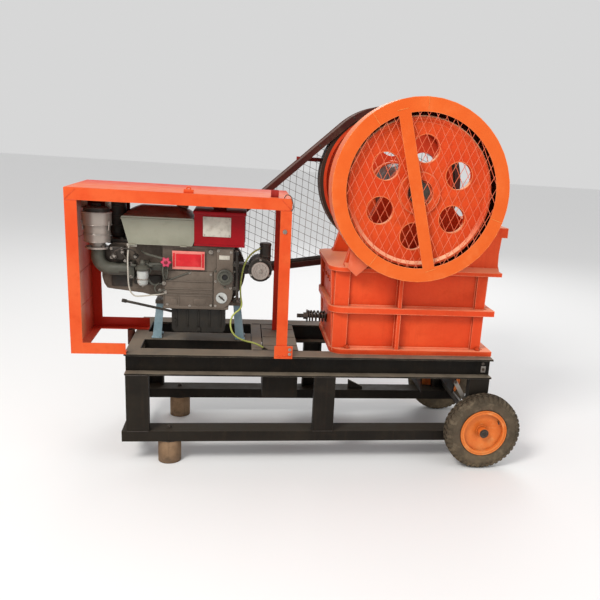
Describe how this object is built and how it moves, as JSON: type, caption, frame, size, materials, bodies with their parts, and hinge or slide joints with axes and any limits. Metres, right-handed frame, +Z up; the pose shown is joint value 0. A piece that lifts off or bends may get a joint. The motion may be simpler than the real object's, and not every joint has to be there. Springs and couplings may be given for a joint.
{
  "type": "mobile jaw crusher",
  "caption": "Jaw crusher on a two-wheeled steel frame, driven by belts from a caged diesel engine, with guarded flywheel and pulley.",
  "frame": {"origin": "on the floor, under the middle of the machine's outline", "axes": "+X along the frame from the engine to the crusher, +Y from the guarded flywheel to the belt side, +Z up"},
  "size_m": [2.107, 0.888, 1.723],
  "materials": {
    "frame_black": "worn satin, rusty",
    "foot_steel": "dusty",
    "brace_zinc": "dull",
    "chute_steel": "worn",
    "tyre_rubber": "matte, dusty",
    "rim_orange": "satin, dusty",
    "cage_orange": "satin",
    "engine_cast": "painted, oily",
    "dark_metal": "satin",
    "leg_blue": "satin",
    "tank_grey": "satin",
    "cleaner_grey": "satin",
    "radiator_red": "gloss",
    "crusher_orange": "painted",
    "guard_orange": "satin",
    "guard_red": "satin, dusty",
    "pulley_iron": "worn",
    "jaw_steel": "worn",
    "bare_steel": "satin",
    "mesh_wire": "satin",
    "belt_rubber": "matte, dusty",
    "wire_sheath": "satin, dusty"
  },
  "bodies": {
    "machine": {"top_beams": "frame_black", "top_end_channels": "frame_black", "engine_rail": "frame_black", "engine_cross_channel": "frame_black", "front_posts": "frame_black", "rear_posts": "frame_black", "bottom_rails": "frame_black", "bottom_end_channels": "frame_black", "axle": "frame_black", "deck_plate": "frame_black", "hanging_box": "frame_black", "support_feet": "foot_steel", "axle_braces": "brace_zinc", "discharge_chute": "chute_steel", "cage_posts": "cage_orange", "cage_top_long_rails": "cage_orange", "cage_top_side_rails": "cage_orange", "cage_bottom_rails": "cage_orange", "cage_roof": "cage_orange", "cage_side_sheet": "cage_orange", "cage_foot_plate": "cage_orange", "engine_block": "engine_cast", "engine_sump": "engine_cast", "cylinder_head": "engine_cast", "alternator": "dark_metal", "intake_elbow": "dark_metal", "muffler": "dark_metal", "fuel_filter": "dark_metal", "engine_legs": "leg_blue", "fuel_tank": "tank_grey", "air_cleaner": "cleaner_grey", "radiator_box": "radiator_red", "crusher_side_front": "crusher_orange", "crusher_side_rear": "crusher_orange", "feed_end_wall": "crusher_orange", "toggle_end_wall": "crusher_orange", "bearing_housings": "crusher_orange", "flywheel_guard": "guard_orange", "guard_lugs": "guard_orange", "belt_guard_frame": "guard_red", "belt_guard_stays": "guard_red", "fixed_jaw": "jaw_steel", "moving_jaw": "jaw_steel", "toggle_plate": "jaw_steel", "tension_rod": "bare_steel", "tension_spring": "bare_steel", "flywheel_guard_mesh": "mesh_wire", "belt_guard_mesh": "mesh_wire", "drive_belts": "belt_rubber", "generator_wire": "wire_sheath"},
    "crusher_rotor": {"eccentric_shaft": "bare_steel", "flywheel": "crusher_orange", "crusher_pulley": "crusher_orange"},
    "engine_rotor": {"engine_flywheel": "dark_metal", "engine_pulley": "pulley_iron"},
    "front_wheel": {"front_tyre": "tyre_rubber", "front_rim": "rim_orange"},
    "rear_wheel": {"rear_tyre": "tyre_rubber", "rear_rim": "rim_orange"}
  },
  "joints": [
    {"name": "crusher_shaft_spin", "type": "hinge", "parent": "machine", "child": "crusher_rotor", "pos_m": [0.4475, -0.008, 1.319], "axis": [0, 1, 0], "continuous": true},
    {"name": "engine_shaft_spin", "type": "hinge", "parent": "machine", "child": "engine_rotor", "pos_m": [-0.4975, 0.054, 0.86], "axis": [0, 1, 0], "continuous": true},
    {"name": "front_wheel_spin", "type": "hinge", "parent": "machine", "child": "front_wheel", "pos_m": [0.8645, -0.4, 0.189], "axis": [0, 1, 0], "continuous": true},
    {"name": "rear_wheel_spin", "type": "hinge", "parent": "machine", "child": "rear_wheel", "pos_m": [0.8645, 0.385, 0.189], "axis": [0, 1, 0], "continuous": true}
  ],
  "couplings": [
    {"joint": "engine_shaft_spin", "follows": "crusher_shaft_spin", "ratio": 5.1528}
  ]
}
